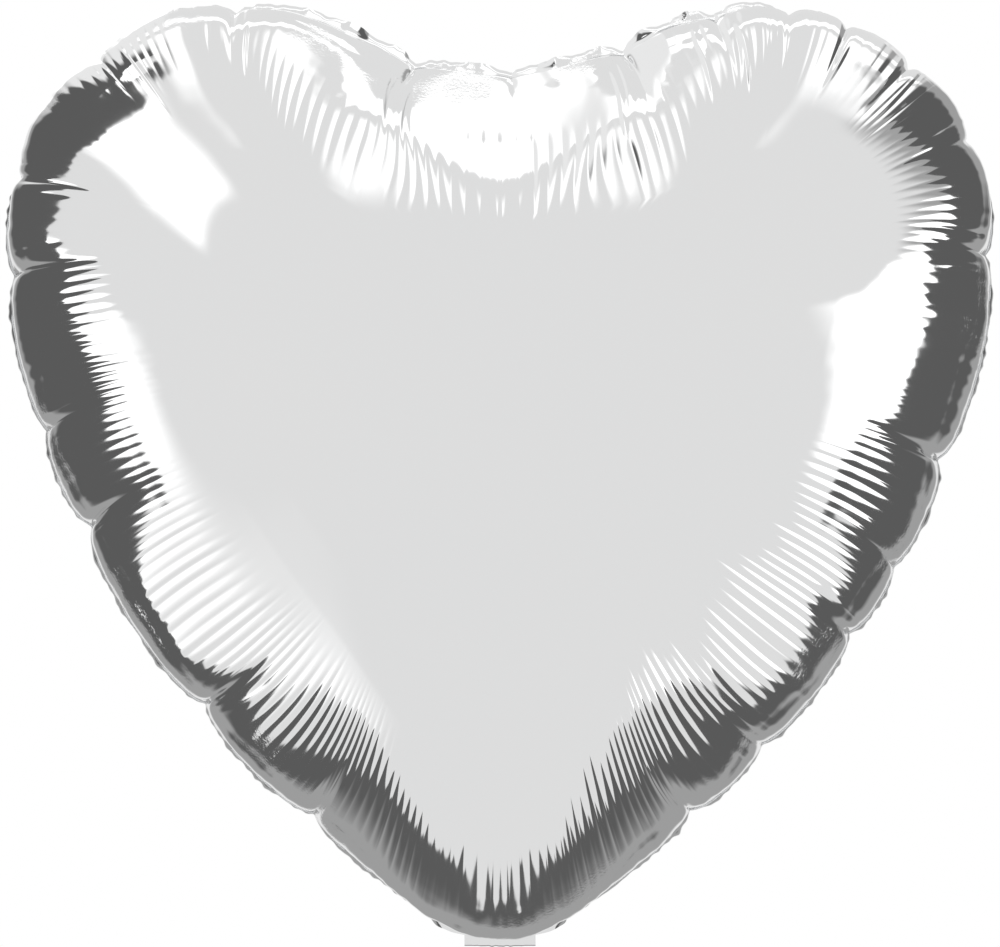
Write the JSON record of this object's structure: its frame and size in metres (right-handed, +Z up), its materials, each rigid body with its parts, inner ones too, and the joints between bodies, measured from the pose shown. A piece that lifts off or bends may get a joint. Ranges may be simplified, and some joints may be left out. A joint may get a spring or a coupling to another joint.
{
  "type": "heart-shaped foil balloon",
  "caption": "Inflated heart-shaped foil balloon: two metallised film panels welded at the edge, a flat self-sealing valve inside and a folding inflation tail.",
  "frame": {"origin": "middle of the neck at the bottom tip of the heart, on the line where the tail folds", "axes": "+X across the width, -Y out of the front panel, +Z up from the neck to the lobes"},
  "size_m": [0.38, 0.1842, 0.3628],
  "materials": {
    "front_foil": "polished",
    "rear_foil": "polished",
    "edge_sealant": "satin",
    "valve_film": "gloss",
    "release_coat": "matte"
  },
  "bodies": {
    "balloon": {"front_panel": "front_foil", "rear_panel": "rear_foil", "edge_weld": "edge_sealant", "neck_seal": "edge_sealant"},
    "valve": {"valve_front_film": "valve_film", "valve_rear_film": "valve_film", "valve_side_welds": "valve_film", "valve_release_coat": "release_coat"},
    "tail": {"tail_front_film": "front_foil", "tail_rear_film": "rear_foil", "tail_side_welds": "edge_sealant"}
  },
  "joints": [
    {"name": "tail_fold", "type": "hinge", "parent": "balloon", "child": "tail", "pos_m": [0, 0, 0], "axis": [1, 0, 0], "range_deg": [-180, 35]},
    {"name": "valve_sway", "type": "hinge", "parent": "balloon", "child": "valve", "pos_m": [0, 0, 0.013], "axis": [1, 0, 0], "range_deg": [-25, 25], "stiffness_Nm_per_rad": 0.001}
  ]
}
